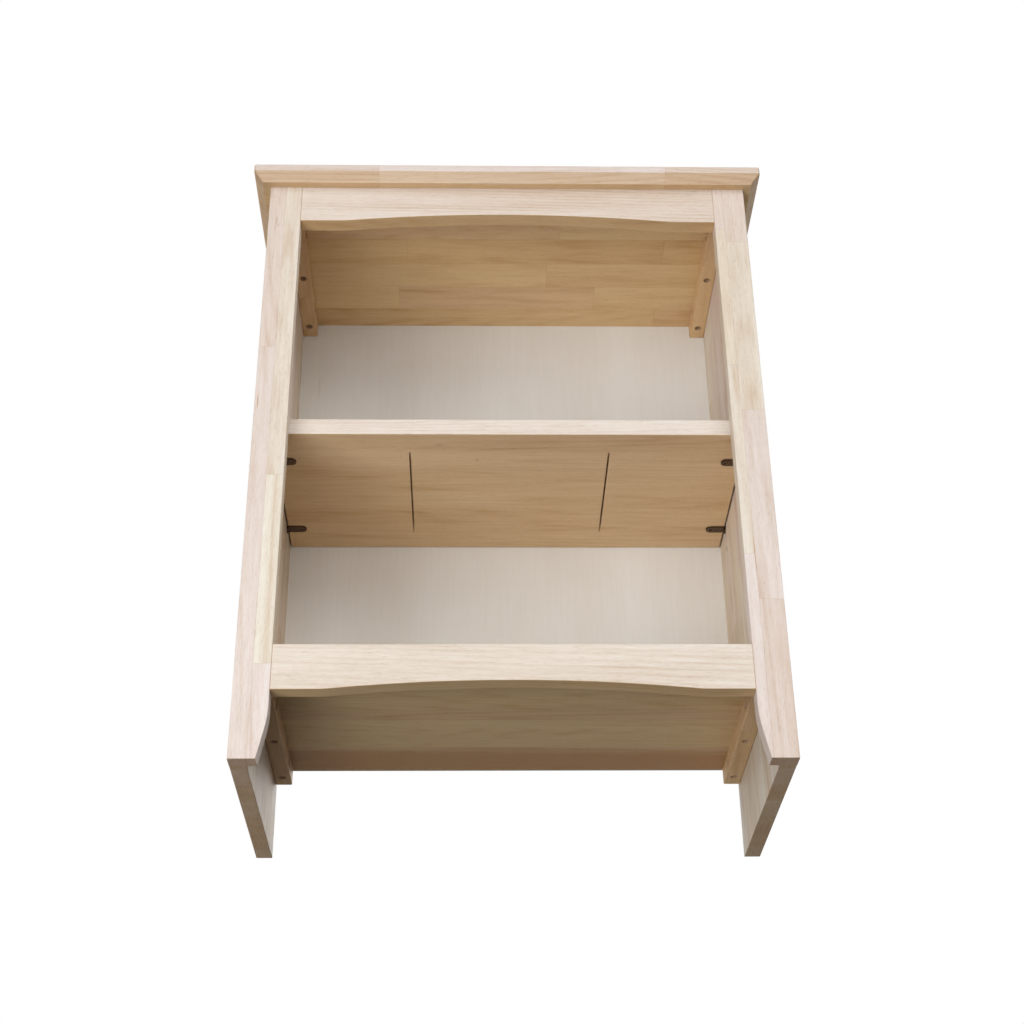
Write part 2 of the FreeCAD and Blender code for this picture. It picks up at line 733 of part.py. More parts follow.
def draw_kerf(sketch):
    """Side view of a saw kerf, whose ends run out in the blade's curve."""
    front = value_of("sizes.kerf_margin")
    back = value_of("layout.shelf_depth") - front
    run = value_of("layout.kerf_run")
    depth = value_of("sizes.kerf_depth")
    blade = value_of("sizes.kerf_blade")
    lean = math.asin(run / blade)
    up = Vector(0, 0, 1)
    mouth = sketch.addGeometry(Part.LineSegment(Vector(front, 0, 0), Vector(back, 0, 0)))
    roof = sketch.addGeometry(Part.LineSegment(Vector(back - run, depth, 0), Vector(front + run, depth, 0)))
    quarter = math.pi / 2
    back_circle = Part.Circle(Vector(back - run, depth - blade, 0), up, blade)
    back_run = sketch.addGeometry(Part.ArcOfCircle(back_circle, quarter - lean, quarter))
    front_circle = Part.Circle(Vector(front + run, depth - blade, 0), up, blade)
    front_run = sketch.addGeometry(Part.ArcOfCircle(front_circle, quarter, quarter + lean))
    sketch.addConstraint(Sketcher.Constraint("Coincident", mouth, 2, back_run, 1))
    sketch.addConstraint(Sketcher.Constraint("Coincident", mouth, 1, front_run, 2))
    sketch.addConstraint(Sketcher.Constraint("Tangent", roof, 1, back_run, 2))
    sketch.addConstraint(Sketcher.Constraint("Tangent", roof, 2, front_run, 1))
    sketch.addConstraint(Sketcher.Constraint("Horizontal", roof))
    fix_point(sketch, "front", mouth, 1, "sizes.kerf_margin", "0")
    fix_point(sketch, "back", mouth, 2, "layout.shelf_depth - sizes.kerf_margin", "0")
    bind(sketch, "back_blade", "sizes.kerf_blade", "Radius", back_run)
    bind(sketch, "front_blade", "sizes.kerf_blade", "Radius", front_run)
    bind(sketch, "depth", "sizes.kerf_depth", "DistanceY", -1, 1, roof, 1)


def make_bottom_shelf():
    """The fixed shelf; its own origin is at the middle of its underside's front edge."""
    body = new_body("bottom_shelf", "0", "layout.side_front", "layout.bottom_shelf_lift")
    outline = new_sketch(body, "bottom_outline", "XY_Plane")
    add_rectangle(outline, "shelf", ("-layout.half_inside", "0"), ("layout.half_inside", "layout.fixed_depth"))
    pad(body, outline, "sizes.shelf_thickness")
    spots = [
        (f"{side} * layout.cleat_axis", f"{row} - layout.side_front")
        for side in (LEFT, RIGHT)
        for row in upright_screw_rows()
    ]
    pilot = fit_hole("sizes.screw_shank")
    drill(body, "bottom_screw_holes", "XY_Plane", "0", pilot, spots, "layout.upright_pilot")
    nails = [(across, "sizes.shelf_thickness / 2") for across in nail_offsets()]
    drill_nails(body, "bottom_nail_holes", "layout.fixed_depth", nails)
    return body


def make_back_panel():
    """The thin back; its own origin is at the middle of its front face, at floor height."""
    body = new_body("back_panel", "0", "layout.back_front")
    outline = new_sketch(body, "back_outline", "XZ_Plane")
    add_rectangle(outline, "back", ("-layout.half_back", "layout.back_foot"), ("layout.half_back", "layout.back_top"))
    pad(body, outline, "sizes.back_thickness", along_normal=False)
    drill(body, "back_nail_holes", "XZ_Plane", "0", fit_hole("sizes.nail_shank"), nail_spots(), None, False)
    return body


# ---------------------------------------------------------------- cleats


def make_cleat(level, name, side):
    """A cleat; its own origin is at the middle of the edge between its board and its side panel."""
    inward = -side
    cleat = f"{level}_{name}_cleat"
    body = new_body(cleat, f"{side} * layout.half_inside", "layout.side_middle", CLEATED_BOARDS[level])
    section = new_sketch(body, f"{cleat}_section", "XZ_Plane")
    corners = [("0", "-sizes.cleat_size"), (f"{inward} * sizes.cleat_size", "0")]
    add_rectangle(section, "section", *corners)
    pad(body, section, "layout.cleat_length", centred=True)
    round_edges(body, f"{cleat}_eased", "sizes.cleat_ease", lambda middle, direction: True)

    through = "sizes.screw_shank + 2 * sizes.through_slack"
    axis = f"{inward} * sizes.cleat_size / 2"
    upright = [(axis, f"{row} - layout.side_middle") for row in upright_screw_rows()]
    underside = "-sizes.cleat_size"
    drill(
        body, f"{cleat}_under_bores", "XY_Plane", underside, "sizes.upright_bore", upright, "sizes.upright_bore_depth"
    )
    drill(body, f"{cleat}_upright_holes", "XY_Plane", underside, through, upright)

    sideways = [(f"{row} - layout.side_middle", "-sizes.cleat_size / 2") for row in sideways_screw_rows()]
    face = f"{inward} * sizes.cleat_size"
    outward = side == RIGHT
    drill(
        body,
        f"{cleat}_face_bores",
        "YZ_Plane",
        face,
        "sizes.sideways_bore",
        sideways,
        "sizes.sideways_bore_depth",
        outward,
    )
    drill(body, f"{cleat}_sideways_holes", "YZ_Plane", face, through, sideways, None, outward)
    return body


# ---------------------------------------------------------------- shelf pins


def make_shelf_pin(row_name, row, name, side):
    """A pin with a round peg and a flat tongue; its own origin is where its axis meets the panel."""
    inward = -side
    pin = f"{row_name}_{name}_shelf_pin"
    body = new_body(pin, f"{side} * layout.half_inside", row, "layout.peg_axis")
    peg = new_sketch(body, f"{pin}_peg", "YZ_Plane", f"{inward} * sizes.pin_root")
    add_circle(peg, "peg", "sizes.peg_size", "0", "0")
    pad(body, peg, "sizes.peg_length + sizes.pin_root", along_normal=side == RIGHT)

    tongue_top = "sizes.peg_size / 2 + sizes.peg_drop"
    tongue = new_sketch(body, f"{pin}_tongue", "XY_Plane", tongue_top)
    draw_tongue(tongue, inward)
    pad(body, tongue, "sizes.tongue_thickness", along_normal=False)

    tip = f"{inward} * (sizes.tongue_length - sizes.tongue_width / 2)"
    drill(body, f"{pin}_tongue_hole", "XY_Plane", tongue_top, "sizes.tongue_hole", [(tip, "0")], None, False)
    underside = value_of(f"{tongue_top} - sizes.tongue_thickness")
    hole_middle = abs(value_of(tip))

    def hole_below(middle, direction):
        near_hole = abs(abs(middle.x) - hole_middle) <= value_of("sizes.tongue_hole")
        return near(middle.z, underside) and near_hole and abs(middle.y) < value_of("sizes.tongue_hole")

    bevel_edges(body, f"{pin}_sink", "sizes.tongue_sink", hole_below)
    return body


def draw_tongue(sketch, inward):
    """Plan of a pin's tongue: a strip with a round end."""
    half = value_of("sizes.tongue_width / 2")
    reach = value_of("sizes.tongue_length") - half
    root = [(inward * reach, half), (0, half), (0, -half), (inward * reach, -half)]
    back, panel_end, front = add_lines(sketch, root)
    circle = Part.Circle(Vector(inward * reach, 0, 0), Vector(0, 0, 1), half)
    quarter = math.pi / 2
    if inward > 0:
        tip = sketch.addGeometry(Part.ArcOfCircle(circle, -quarter, quarter))
        tip_front, tip_back = 1, 2
    else:
        tip = sketch.addGeometry(Part.ArcOfCircle(circle, quarter, 3 * quarter))
        tip_front, tip_back = 2, 1
    sketch.addConstraint(Sketcher.Constraint("Coincident", back, 2, panel_end, 1))
    sketch.addConstraint(Sketcher.Constraint("Coincident", panel_end, 2, front, 1))
    sketch.addConstraint(Sketcher.Constraint("Tangent", front, 2, tip, tip_front))
    sketch.addConstraint(Sketcher.Constraint("Tangent", back, 1, tip, tip_back))
    sketch.addConstraint(Sketcher.Constraint("Vertical", panel_end))
    sketch.addConstraint(Sketcher.Constraint("Horizontal", front))
    fix_point(sketch, "corner", panel_end, 2, "0", "-sizes.tongue_width / 2")
    bind(sketch, "width", "sizes.tongue_width", "DistanceY", panel_end, 2, panel_end, 1)
    reach_expression = f"{inward} * (sizes.tongue_length - sizes.tongue_width / 2)"
    fix_point(sketch, "tip", tip, 3, reach_expression, "0")


# ---------------------------------------------------------------- fasteners


def make_wood_screw():
    """A pan-head screw; its head sits on its own XY plane and its shank points up."""
    body = new_body("wood_screw")
    profile = new_sketch(body, "screw_profile", "XZ_Plane")
    half_head = "sizes.screw_head / 2"
    half_shank = "sizes.screw_shank / 2"
    outline = [
        ("0", "-sizes.screw_head_height"),
        (f"{half_head} * 0.55", "-sizes.screw_head_height"),
        (half_head, "-sizes.screw_head_height * 0.45"),
        (half_head, "0"),
        (half_shank, "0"),
        (half_shank, "sizes.screw_length - sizes.screw_tip"),
        ("0", "sizes.screw_length"),
    ]
    revolve(body, profile, outline)
    head_plane = "-sizes.screw_head_height"
    for number, (across, back) in enumerate((("recess_length", "recess_width"), ("recess_width", "recess_length"))):
        recess = new_sketch(body, f"recess{number}", "XY_Plane", head_plane)
        add_rectangle(
            recess,
            "slot",
            (f"-sizes.{across} / 2", f"-sizes.{back} / 2"),
            (f"sizes.{across} / 2", f"sizes.{back} / 2"),
        )
        pocket(body, recess, "sizes.recess_depth")
    return body


def revolve(body, sketch, outline):
    """Turns an outline, which starts and ends on the axis, into a round solid."""
    points = [tuple(value_of(item) for item in point) for point in outline]
    chain = add_lines(sketch, points + points[:1])
    join_ends(sketch, chain)
    for number, (line, (across, up)) in enumerate(zip(chain, outline), start=1):
        fix_point(sketch, f"corner{number}", line, 1, across, up)
    feature = body.newObject("PartDesign::Revolution", f"{sketch.Name}_turned")
    feature.Profile = sketch
    feature.ReferenceAxis = (sketch, ["V_Axis"])
    feature.Angle = 360
    doc.recompute()


def make_dowel():
    """A dowel, centred on its own origin, its axis upright."""
    body = new_body("dowel")
    end = new_sketch(body, "dowel_end", "XY_Plane")
    add_circle(end, "dowel", "sizes.dowel_size", "0", "0")
    pad(body, end, "sizes.dowel_length", centred=True)
    half_length = value_of("sizes.dowel_length / 2")
    bevel_edges(
        body,
        "dowel_chamfers",
        "sizes.dowel_chamfer",
        lambda middle, direction: near(abs(middle.z), half_length),
    )
    return body


def make_nail():
    """A nail; its head sits on its own XY plane and its shank points up."""
    body = new_body("nail")
    profile = new_sketch(body, "nail_profile", "XZ_Plane")
    half_shank = "sizes.nail_shank / 2"
    outline = [
        ("0", "-sizes.nail_head_height"),
        ("sizes.nail_head / 2", "-sizes.nail_head_height"),
        ("sizes.nail_head / 2", "0"),
        (half_shank, "0"),
        (half_shank, "sizes.nail_length - sizes.nail_tip"),
        ("0", "sizes.nail_length"),
    ]
    revolve(body, profile, outline)
    return body


ALONG_Z = FreeCAD.Rotation()
ALONG_X = FreeCAD.Rotation(Vector(0, 1, 0), 90)
AGAINST_X = FreeCAD.Rotation(Vector(0, 1, 0), -90)
AGAINST_Y = FreeCAD.Rotation(Vector(1, 0, 0), 90)


def upright_screws(name, level, master):
    """The screws that go up through a pair of cleats into their board."""
    seat = f"{CLEATED_BOARDS[level]} - layout.upright_grip"
    places = [
        (f"{side} * layout.cleat_axis", row, seat, ALONG_Z)
        for side in (LEFT, RIGHT)
        for row in upright_screw_rows()
    ]
    return group(name, master, places)


def sideways_screws(name, side, master):
    """The screws that go sideways through two cleats into one side panel."""
    seat = f"{side} * (layout.half_inside - layout.sideways_grip)"
    rotation = ALONG_X if side == RIGHT else AGAINST_X
    places = [
        (seat, row, f"{board} - sizes.cleat_size / 2", rotation)
        for row in sideways_screw_rows()
        for board in CLEATED_BOARDS.values()
    ]
    return group(name, master, places)


def rail_dowels(level, master):
    """The dowels in both ends of a rail."""
    places = [
        (f"{side} * layout.half_rail", "layout.frame_middle", up, ALONG_X)
        for side in (LEFT, RIGHT)
        for up in rail_dowel_heights(RAIL_FEET[level])
    ]
    return group(f"{level}_rail_dowels", master, places)


def stile_dowels(name, side, master):
    """The dowels between a stile and its side panel."""
    across = f"{side} * (layout.half_case - sizes.side_thickness / 2)"
    middle = "layout.side_front - sizes.stile_dowel_depth + sizes.dowel_length / 2"
    places = [(across, middle, up, AGAINST_Y) for up in stile_dowel_heights()]
    return group(f"{name}_stile_dowels", master, places)


def back_nails(master):
    """The nails round the back panel, heads on its rear face."""
    seat = "layout.back_front + sizes.back_thickness"
    return group("back_panel_nails", master, [(across, seat, up, AGAINST_Y) for across, up in nail_spots()])


# ---------------------------------------------------------------- the whole piece


def make_nodes():
    nodes = [make_top_board(), make_adjustable_shelf(), make_bottom_shelf(), make_back_panel()]
    nodes += [make_rail(level) for level in RAIL_FEET]
    for name, side in SIDES.items():
        nodes.append(make_side_panel(name, side))
        nodes.append(make_stile(name, side))
        nodes += [make_cleat(level, name, side) for level in CLEATED_BOARDS]
        for row_name, row in zip(("front", "rear"), pin_rows()):
            nodes.append(make_shelf_pin(row_name, row, name, side))

    screw = make_wood_screw()
    dowel = make_dowel()
    nodes.append(upright_screws("top_board_screws", "top", screw))
    nodes.append(upright_screws("bottom_shelf_screws", "bottom", screw))
    for name, side in SIDES.items():
        nodes.append(sideways_screws(f"{name}_side_screws", side, screw))
        nodes.append(stile_dowels(name, side, dowel))
    nodes += [rail_dowels(level, dowel) for level in RAIL_FEET]
    nodes.append(back_nails(make_nail()))
    return nodes


def check_and_export(nodes):
    """Writes each node's file, once nothing in the document has failed."""
    for item in doc.Objects:
        if {"Invalid", "Error"} & set(item.State):
            raise RuntimeError(f"{item.Name} failed: {item.State}")
    for node in nodes:
        if node.Shape.isNull() or not node.Shape.isValid():
            raise RuntimeError(f"{node.Label} has no good shape")
    os.makedirs("parts", exist_ok=True)
    for node in nodes:
        node.Shape.exportStep(os.path.join("parts", f"{node.Label}.step"))
        print(node.Label, len(node.Shape.Solids), round(node.Shape.Volume))


nodes = make_nodes()
doc.recompute()
check_and_export(nodes)
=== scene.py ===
"""Looks of the small bare-wood bookcase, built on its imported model."""

from math import cos, radians, sin, tau

import bpy
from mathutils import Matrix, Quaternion, Vector


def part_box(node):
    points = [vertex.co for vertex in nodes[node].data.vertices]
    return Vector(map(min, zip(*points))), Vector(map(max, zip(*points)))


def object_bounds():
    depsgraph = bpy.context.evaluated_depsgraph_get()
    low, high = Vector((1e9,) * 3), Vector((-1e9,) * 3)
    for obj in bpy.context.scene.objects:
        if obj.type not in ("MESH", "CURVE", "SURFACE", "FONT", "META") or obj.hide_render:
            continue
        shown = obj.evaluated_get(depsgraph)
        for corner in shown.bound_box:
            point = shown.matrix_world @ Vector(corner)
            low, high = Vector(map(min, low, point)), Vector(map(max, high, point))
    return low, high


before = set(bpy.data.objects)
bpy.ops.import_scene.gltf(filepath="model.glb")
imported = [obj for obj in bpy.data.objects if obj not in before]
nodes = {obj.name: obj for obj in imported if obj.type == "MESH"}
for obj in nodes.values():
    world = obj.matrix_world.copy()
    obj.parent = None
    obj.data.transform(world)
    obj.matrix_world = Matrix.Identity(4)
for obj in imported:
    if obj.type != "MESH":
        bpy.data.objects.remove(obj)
cad_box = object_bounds()


# ---- shader sums -----------------------------------------------------------------------------
class Value:
    """One number in a finish. Sums on it add Math nodes."""

    def __init__(self, finish, socket):
        self.finish = finish
        self.socket = socket

    def sum(self, operation, *others, clamp=False):
        settings = {"operation": operation, "use_clamp": clamp}
        sockets = dict(zip(("Value", "Value_001", "Value_002"), (self,) + others))
        return self.finish.add("ShaderNodeMath", settings, sockets)["Value"]

    def __add__(self, other):
        return self.sum("ADD", other)

    __radd__ = __add__

    def __sub__(self, other):
        return self.sum("SUBTRACT", other)

    def __rsub__(self, other):
        return (self * -1) + other

    def __mul__(self, other):
        return self.sum("MULTIPLY", other)

    __rmul__ = __mul__

    def __truediv__(self, other):
        return self.sum("DIVIDE", other)

    def __pow__(self, power):
        return self.sum("POWER", power)

    def __gt__(self, limit):
        return self.sum("GREATER_THAN", limit)

    def __lt__(self, limit):
        return self.sum("LESS_THAN", limit)

    def __abs__(self):
        return self.sum("ABSOLUTE")

    def floor(self):
        return self.sum("FLOOR")

    def wave(self):
        return self.sum("SINE")

    def root(self):
        return self.sum("SQRT")

    def highest(self, other):
        return self.sum("MAXIMUM", other)

    def held(self):
        """Kept between nought and one."""
        return self.sum("ADD", 0.0, clamp=True)

    def rise(self, start, end):
        """Nought below start, one above end, a straight climb between."""
        return ((self - start) / (end - start)).held()


class Outlets:
    """A node's outlets, by name: plain numbers come back as Value."""

    def __init__(self, finish, node):
        self.finish = finish
        self.node = node

    def __getitem__(self, name):
        socket = next(s for s in self.node.outputs if name in (s.identifier, s.name) and s.enabled)
        return Value(self.finish, socket) if socket.type == "VALUE" else socket


class Finish:
    """A material, or the world's surface, being put together."""

    def __init__(self, name, holder=None):
        self.holder = holder or bpy.data.materials.new(name)
        self.holder.use_nodes = True
        self.tree = self.holder.node_tree
        self.tree.nodes.clear()

    def add(self, kind, settings=None, sockets=None):
        node = self.tree.nodes.new(kind)
        for name, value in (settings or {}).items():
            if name == "stops":
                self.set_stops(node.color_ramp, value)
            else:
                setattr(node, name, value)
        for name, value in (sockets or {}).items():
            self.join(node, name, value)
        return Outlets(self, node)

    def join(self, node, name, value):
        inlets = [s for s in node.inputs if s.enabled]
        inlet = next((s for s in inlets if s.identifier == name), None)
        inlet = inlet or next(s for s in inlets if s.name == name)
        value = value.socket if isinstance(value, Value) else value
        if isinstance(value, bpy.types.NodeSocket):
            self.tree.links.new(value, inlet)
        else:
            inlet.default_value = value

    @staticmethod
    def set_stops(ramp, stops):
        while len(ramp.elements) < len(stops):
            ramp.elements.new(0.5)
        for element, (position, colour) in zip(ramp.elements, stops):
            element.position = position
            element.color = colour

    def place(self):
        """Where a point is on the piece, in metres."""
        found = self.add("ShaderNodeTexCoord")["Object"]
        split = self.add("ShaderNodeSeparateXYZ", None, {"Vector": found})
        return [split[axis] for axis in "XYZ"]

    def facing(self):
        """Which way the surface faces, on the piece's own axes."""
        found = self.add("ShaderNodeTexCoord")["Normal"]
        split = self.add("ShaderNodeSeparateXYZ", None, {"Vector": found})
        return [split[axis] for axis in "XYZ"]

    def vector(self, x, y, z):
        return self.add("ShaderNodeCombineXYZ", None, {"X": x, "Y": y, "Z": z})["Vector"]

    def noise(self, vector, scale, detail=2.0, rough=0.5):
        sockets = {"Vector": vector, "Scale": scale, "Detail": detail, "Roughness": rough}
        return self.add("ShaderNodeTexNoise", None, sockets)["Fac"]

    def chance(self, value):
        """Three unlike numbers drawn for one stave."""
        drawn = self.add("ShaderNodeTexWhiteNoise", {"noise_dimensions": "1D"}, {"W": value})
        split = self.add("ShaderNodeSeparateColor", None, {"Color": drawn["Color"]})
        return split["Red"], split["Green"], split["Blue"]

    def ramp(self, value, stops):
        return self.add("ShaderNodeValToRGB", {"stops": stops}, {"Fac": value})["Color"]

    def blend(self, share, first, second, kind="MIX"):
        settings = {"data_type": "RGBA", "blend_type": kind}
        sockets = {"Factor_Float": share, "A_Color": first, "B_Color": second}
        return self.add("ShaderNodeMix", settings, sockets)["Result_Color"]

    def bump(self, height, depth, strength=1.0):
        sockets = {"Height": height, "Distance": depth, "Strength": strength}
        return self.add("ShaderNodeBump", None, sockets)["Normal"]

    def surface(self, sockets):
        shader = self.add("ShaderNodeBsdfPrincipled", None, sockets)["BSDF"]
        self.add("ShaderNodeOutputMaterial", None, {"Surface": shader})
        return self.holder


def paint(red, green, blue):
    """A colour as the eye reads it, 0 to 255, in the shader's own scale."""
    shares = [c / 255 for c in (red, green, blue)]
    return tuple(s / 12.92 if s <= 0.04045 else ((s + 0.055) / 1.055) ** 2.4 for s in shares) + (1.0,)


# ---- bare wood -------------------------------------------------------------------------------
MM = 0.001
RING_SPACING = 4.6 * MM
GLUE_LINE = 0.28 * MM
# Width of the dark line at each end of a rail: its butt joint's glue line, with painted shade for the shadow
# in the hairline.
SEAM_SHADE_WIDTH = 0.45 * MM
LAST_STAVE = 60 * MM  # how wide the last row of staves is taken to be
WOOD_ROUGHNESS = 0.58
WOOD_SHEEN_LEVEL = 0.32
GRAIN_RELIEF = 0.16 * MM

# The place along the grain is multiplied by these, which draws the pattern out that way.
FIBRE_STRETCH = 0.055
PORE_STRETCH = 0.09

# Pattern steps to the metre, across the grain.
DRIFT_SCALE = 30.0
STREAK_SCALE = 330.0
FIBRE_SCALE = 1500.0
PORE_SCALE = 1300.0
WANDER_SCALE = 24.0
RING_FADE_SCALE = 60.0
END_GRAIN_SCALE = 1400.0

# How far each thing moves the wood from its pale tone towards its deep one.
BASE_SHADE = 0.30
DRIFT_SHARE = 0.75
STREAK_SHARE = 0.55
FIBRE_SHARE = 0.35
RING_SHARE = 0.30
PORE_SHARE = 0.24
STAVE_SHARE = 0.16
GLUE_SHARE = 0.22
# Painted shade, with the glue line, in the rails' butt joints.
SEAM_SHADE_SHARE = 0.9

# How squarely a face looks one way, as nought to one, where a tint starts and where it is full: the first
# pair for the painted shade on faces that look down and on the cleats' sides, the second for end grain.
SHADE_FACING = (0.3, 0.9)
END_TINT = (0.55, 0.85)

DEEP_TINT = paint(212, 187, 161)
# Painted shade: a warm, darker tint multiplied onto faces that look down and onto the cleats' sides, for the
# dimmer, warmer light that reaches them.
PAINTED_SHADE_TINT = paint(255, 231, 188)  # for faces that look down, and the cleats' sides
END_PALE = paint(236, 220, 202)
END_DEEP = paint(210, 188, 162)

# Tones run from pinkish white, through cream, to straw and tan.
PALE_TONES = [
    (0.00, paint(230, 221, 217)),
    (0.25, paint(227, 215, 207)),
    (0.50, paint(230, 222, 211)),
    (0.75, paint(234, 229, 217)),
    (1.00, paint(224, 211, 192)),
]


def laid_staves(finish, along, across, rows):
    """Staves laid out one by one. A row is (low edge, [(start, tone), ...]), both in mm."""
    tone = None
    middle = None
    line = None
    edges = [edge * MM for edge, _ in rows] + [rows[-1][0] * MM + LAST_STAVE]
    for number, (edge, staves) in enumerate(rows):
        inside = None
        if number > 0:
            inside = across > edges[number]
            near = abs(across - edges[number]) < GLUE_LINE
            line = near if line is None else line.highest(near)
        row_tone = staves[0][1]
        for (start, new_tone), (_, old_tone) in zip(staves[1:], staves):
            row_tone = (along > start * MM) * (new_tone - old_tone) + row_tone
            near = abs(along - start * MM) < GLUE_LINE
            near = near * inside if inside is not None else near
            if number + 1 < len(rows):
                near = near * (across < edges[number + 1])
            line = near if line is None else line.highest(near)
        centre = (edges[number] + edges[number + 1]) / 2
        if tone is None:
            tone = row_tone
            middle = centre
        else:
            tone = finish.add(
                "ShaderNodeMix",
                {"data_type": "FLOAT"},
                {"Factor_Float": inside, "A_Float": tone, "B_Float": row_tone},
            )["Result_Float"]
            middle = finish.add(
                "ShaderNodeMix",
                {"data_type": "FLOAT"},
                {"Factor_Float": inside, "A_Float": middle, "B_Float": centre},
            )["Result_Float"]
    if not isinstance(tone, Value):
        tone = along * 0.0 + tone
    return tone, across - middle, line


def scattered_staves(finish, along, across, width, length, seed):
    """Staves of one width, butted end to end at lengths that differ from row to row."""
    row = (across / width + seed).floor()
    first, second, _ = finish.chance(row * 1.37 + seed)
    reach = along / (length * (first * 0.6 + 0.7)) + second * 9.0
    stave = reach.floor()
    tone, _, _ = finish.chance(row * 7.31 + stave * 3.17 + seed)
    off_row = across / width + seed - row
    off_stave = reach - stave
    line = (off_row < GLUE_LINE / width).highest(off_stave < GLUE_LINE / length)
    return tone, (off_row - 0.5) * width, line


def marks_on(finish, along, across, marks_and_shade):
    """Small pips and mineral streaks, and broad patches of painted shade: (along, across, half length, half
    width, strength), mm.
    """
    total = None
    for at, over, half_length, half_width, strength in marks_and_shade:
        run = (along - at * MM) / (half_length * MM)
        side = (across - over * MM) / (half_width * MM)
        spot = (1 - (run * run + side * side)).held() * strength
        total = spot if total is None else total + spot
    return total


def bare_wood(
    name,
    grain,
    across,
    staves,
    marks_and_shade=(),
    figure=1.0,
    seam_shade_ends=None,
    down_shade_share=0.0,
    side_shade_share=0.0,
):
    """Unfinished hardwood with its staves, rings, fibres and pores running along one axis, and painted shade
    where asked: on faces that look down, on faces that look sideways, and with the glue line in the joints
    at a rail's ends.
    """
    finish = Finish(name)
    places = dict(zip("XYZ", finish.place()))
    faces = dict(zip("XYZ", finish.facing()))
    through = next(a for a in "XYZ" if a not in (grain, across))
    u, v, w = places[grain], places[across], places[through]
    tone, off_middle, line = staves(finish, u, v)
    first, second, third = finish.chance(tone * 53.0 + 0.7)

    long_way = finish.vector(u * FIBRE_STRETCH + first * 7.0, v + second * 3.0, w + third * 3.0)
    pore_way = finish.vector(u * PORE_STRETCH + third * 5.0, v, w)
    drift = finish.noise(long_way, DRIFT_SCALE, 2.0)
    streak = finish.noise(long_way, STREAK_SCALE, 3.0, 0.6)
    fibre = finish.noise(long_way, FIBRE_SCALE, 2.0, 0.6)
    pores = finish.noise(pore_way, PORE_SCALE, 1.0).rise(0.60, 0.72)

    heart_side = off_middle + (second - 0.5) * 0.05
    heart_deep = w + (third * 0.05 + 0.006)
    wander = (finish.noise(long_way, WANDER_SCALE, 2.0) - 0.5) * (0.022 * figure)
    radius = (heart_side * heart_side + heart_deep * heart_deep).root()
    radius = radius + wander + u * ((first - 0.5) * 0.16 * figure)
    ring = ((radius * (tau / RING_SPACING)).wave() * 0.5 + 0.5) ** 2.5
    ring = ring * finish.noise(long_way, RING_FADE_SCALE, 1.0).rise(0.35, 0.75)

    shade = (drift - 0.5) * DRIFT_SHARE + (streak - 0.5) * STREAK_SHARE + (fibre - 0.5) * FIBRE_SHARE
    shade = shade + ring * RING_SHARE + pores * PORE_SHARE + (third - 0.5) * STAVE_SHARE
    if line is not None:
        shade = shade + line * GLUE_SHARE
    spots = marks_on(finish, u, v, marks_and_shade)
    if spots is not None:
        shade = shade + spots
    # Dark line at each end of a rail: the glue line of its butt joint, with painted shade for the shadow in
    # the hairline.
    if seam_shade_ends is not None:
        seam_shade = abs(u) > seam_shade_ends - SEAM_SHADE_WIDTH
        shade = shade + seam_shade * SEAM_SHADE_SHARE
    pale = finish.ramp(tone, PALE_TONES)
    deep = finish.blend(1.0, pale, DEEP_TINT, "MULTIPLY")
    colour = finish.blend((shade + BASE_SHADE).held(), pale, deep)

    # Painted shade: faces that look down, and with a side share faces that look sideways, are multiplied
    # towards the warm shade tint.
    down = (faces["Z"] * -1).rise(*SHADE_FACING)
    if down_shade_share:
        colour = finish.blend(down * down_shade_share, colour, PAINTED_SHADE_TINT, "MULTIPLY")
    if side_shade_share:
        side = abs(faces["X"]).rise(*SHADE_FACING)
        colour = finish.blend(side * side_shade_share, colour, PAINTED_SHADE_TINT, "MULTIPLY")
    end = abs(faces[grain]).rise(*END_TINT)
    end_speck = finish.noise(finish.vector(u, v, w), END_GRAIN_SCALE, 2.0)
    end_tint = finish.blend(end_speck.rise(0.3, 0.7), END_PALE, END_DEEP)
    colour = finish.blend(end, colour, end_tint, "MULTIPLY")

    height = (1 - end) * ((streak - 0.5) * 0.5 + (fibre - 0.5) * 0.6 - pores * 0.8)
    height = height + end * end_speck * 0.4
    if line is not None:
        height = height - line * 0.6
    return finish.surface(
        {
            "Base Color": colour,
            "Roughness": ((streak - 0.5) * 0.18 + end * 0.12 + WOOD_ROUGHNESS).held(),
            "Specular IOR Level": WOOD_SHEEN_LEVEL,
            "Normal": finish.bump(height, GRAIN_RELIEF, 0.8),
        }
    )


def laid(*rows):
    return lambda finish, along, across: laid_staves(finish, along, across, rows)


def scattered(width, length, seed):
    return lambda finish, along, across: scattered_staves(
        finish, along, across, width * MM, length * MM, seed
    )


